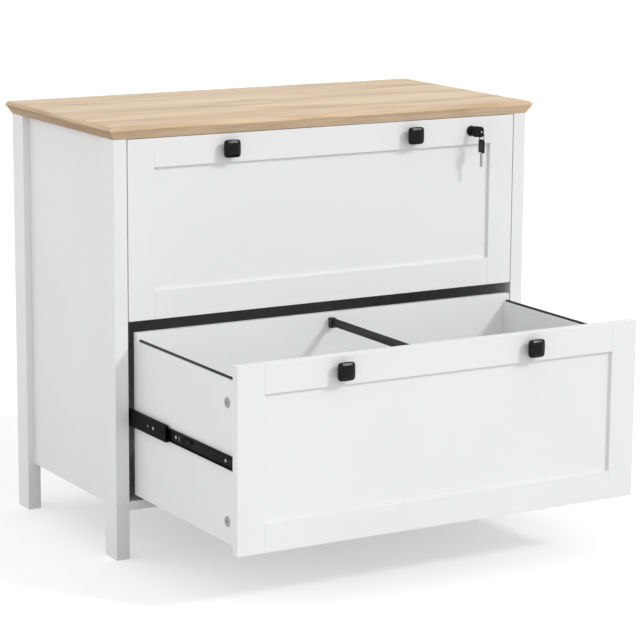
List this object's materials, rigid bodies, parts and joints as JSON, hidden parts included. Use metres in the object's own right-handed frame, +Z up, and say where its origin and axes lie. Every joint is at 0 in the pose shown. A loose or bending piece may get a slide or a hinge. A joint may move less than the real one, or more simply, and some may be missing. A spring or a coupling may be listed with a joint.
{
  "type": "lateral filing cabinet",
  "caption": "Low lateral filing cabinet on square legs, with framed drawer fronts, an undercut wooden top, knobs, ball slides and a lock with its keys; the lower drawer stands open.",
  "frame": {"origin": "on the floor, under the centre of the box that the cabinet fills with its lower drawer open", "axes": "+X to the right seen from the front, -Y the way the drawers open, +Z up"},
  "size_m": [0.818, 0.797, 0.7215],
  "materials": {
    "white_board": "white melamine, satin",
    "oak_board": "oak-grain laminate, satin",
    "back_board": "thin fibreboard, matt",
    "slide_black": "black, satin",
    "cage_steel": "bright steel",
    "screw_steel": "bright steel",
    "fitting_grey": "grey, satin",
    "bar_dark": "dark grey, satin",
    "clip_black": "black, matt",
    "knob_black": "black, glossy",
    "lock_black": "black, satin",
    "lock_steel": "plated steel",
    "key_plastic": "black, satin"
  },
  "bodies": {
    "cabinet": {"top_panel": "oak_board", "front_left_leg": "white_board", "front_right_leg": "white_board", "rear_left_leg": "white_board", "rear_right_leg": "white_board", "left_side_panel": "white_board", "right_side_panel": "white_board", "bottom_panel": "white_board", "back_panel": "back_board", "front_stretcher": "white_board", "rear_stretcher": "white_board", "lock_strike": "lock_steel", "top_screws": "screw_steel", "back_screws": "screw_steel", "cam_fittings": "fitting_grey", "upper_cabinet_members": "slide_black", "lower_cabinet_members": "slide_black", "cabinet_member_screws": "screw_steel"},
    "upper_drawer": {"upper_front_stiles": "white_board", "upper_front_rails": "white_board", "upper_front_panel": "white_board", "upper_left_drawer_side": "white_board", "upper_right_drawer_side": "white_board", "upper_drawer_back": "white_board", "upper_drawer_bottom": "white_board", "upper_cam_caps": "fitting_grey", "upper_hanging_bars": "bar_dark", "upper_bar_clips": "clip_black", "upper_knobs": "knob_black", "upper_knob_screws": "screw_steel", "upper_drawer_members": "slide_black", "upper_member_screws": "screw_steel", "lock_housing": "lock_black", "lock_nut": "lock_steel"},
    "lower_drawer": {"lower_front_stiles": "white_board", "lower_front_rails": "white_board", "lower_front_panel": "white_board", "lower_left_drawer_side": "white_board", "lower_right_drawer_side": "white_board", "lower_drawer_back": "white_board", "lower_drawer_bottom": "white_board", "lower_cam_caps": "fitting_grey", "lower_hanging_bars": "bar_dark", "lower_bar_clips": "clip_black", "lower_knobs": "knob_black", "lower_knob_screws": "screw_steel", "lower_drawer_members": "slide_black", "lower_member_screws": "screw_steel"},
    "upper_middle": {"upper_middle_members": "slide_black"},
    "upper_outer_cages": {"upper_outer_cages": "cage_steel"},
    "upper_inner_cages": {"upper_inner_cages": "cage_steel"},
    "lower_middle": {"lower_middle_members": "slide_black"},
    "lower_outer_cages": {"lower_outer_cages": "cage_steel"},
    "lower_inner_cages": {"lower_inner_cages": "cage_steel"},
    "lock_plug": {"lock_plug": "lock_black", "lock_cam": "lock_steel", "key_blade": "lock_steel"},
    "key_bow": {"key_bow": "key_plastic"},
    "key_ring": {"key_ring": "lock_steel"},
    "spare_key": {"spare_key": "key_plastic"}
  },
  "joints": [
    {"name": "upper_drawer_slide", "type": "slide", "parent": "cabinet", "child": "upper_drawer", "axis": [0, -1, 0], "range_m": [0, 0.37]},
    {"name": "upper_middle_slide", "type": "slide", "parent": "cabinet", "child": "upper_middle", "axis": [0, -1, 0], "range_m": [0, 0.148]},
    {"name": "upper_outer_cages_slide", "type": "slide", "parent": "cabinet", "child": "upper_outer_cages", "axis": [0, -1, 0], "range_m": [0, 0.074]},
    {"name": "upper_inner_cages_slide", "type": "slide", "parent": "cabinet", "child": "upper_inner_cages", "axis": [0, -1, 0], "range_m": [0, 0.259]},
    {"name": "lower_drawer_slide", "type": "slide", "parent": "cabinet", "child": "lower_drawer", "axis": [0, -1, 0], "range_m": [-0.37, 0]},
    {"name": "lower_middle_slide", "type": "slide", "parent": "cabinet", "child": "lower_middle", "axis": [0, -1, 0], "range_m": [-0.148, 0]},
    {"name": "lower_outer_cages_slide", "type": "slide", "parent": "cabinet", "child": "lower_outer_cages", "axis": [0, -1, 0], "range_m": [-0.074, 0]},
    {"name": "lower_inner_cages_slide", "type": "slide", "parent": "cabinet", "child": "lower_inner_cages", "axis": [0, -1, 0], "range_m": [-0.259, 0]},
    {"name": "lock_turn", "type": "hinge", "parent": "upper_drawer", "child": "lock_plug", "pos_m": [0.286, -0.0105, 0.675], "axis": [0, 1, 0], "range_deg": [0, 90]},
    {"name": "bow_fold", "type": "hinge", "parent": "lock_plug", "child": "key_bow", "pos_m": [0.286, -0.0195, 0.675], "axis": [0, 0, 1], "range_deg": [-81, 69]},
    {"name": "ring_swing", "type": "hinge", "parent": "key_bow", "child": "key_ring", "pos_m": [0.29209, -0.03537, 0.675], "axis": [0.9336, 0.3584, 0], "range_deg": [-40, 12]},
    {"name": "spare_swing", "type": "hinge", "parent": "key_ring", "child": "spare_key", "pos_m": [0.29209, -0.03537, 0.6588], "axis": [0.9903, -0.1392, 0], "range_deg": [-40, 12]}
  ],
  "couplings": [
    {"joint": "upper_middle_slide", "follows": "upper_drawer_slide", "ratio": 0.4},
    {"joint": "upper_outer_cages_slide", "follows": "upper_drawer_slide", "ratio": 0.2},
    {"joint": "upper_inner_cages_slide", "follows": "upper_drawer_slide", "ratio": 0.7},
    {"joint": "lower_middle_slide", "follows": "lower_drawer_slide", "ratio": 0.4},
    {"joint": "lower_outer_cages_slide", "follows": "lower_drawer_slide", "ratio": 0.2},
    {"joint": "lower_inner_cages_slide", "follows": "lower_drawer_slide", "ratio": 0.7}
  ]
}
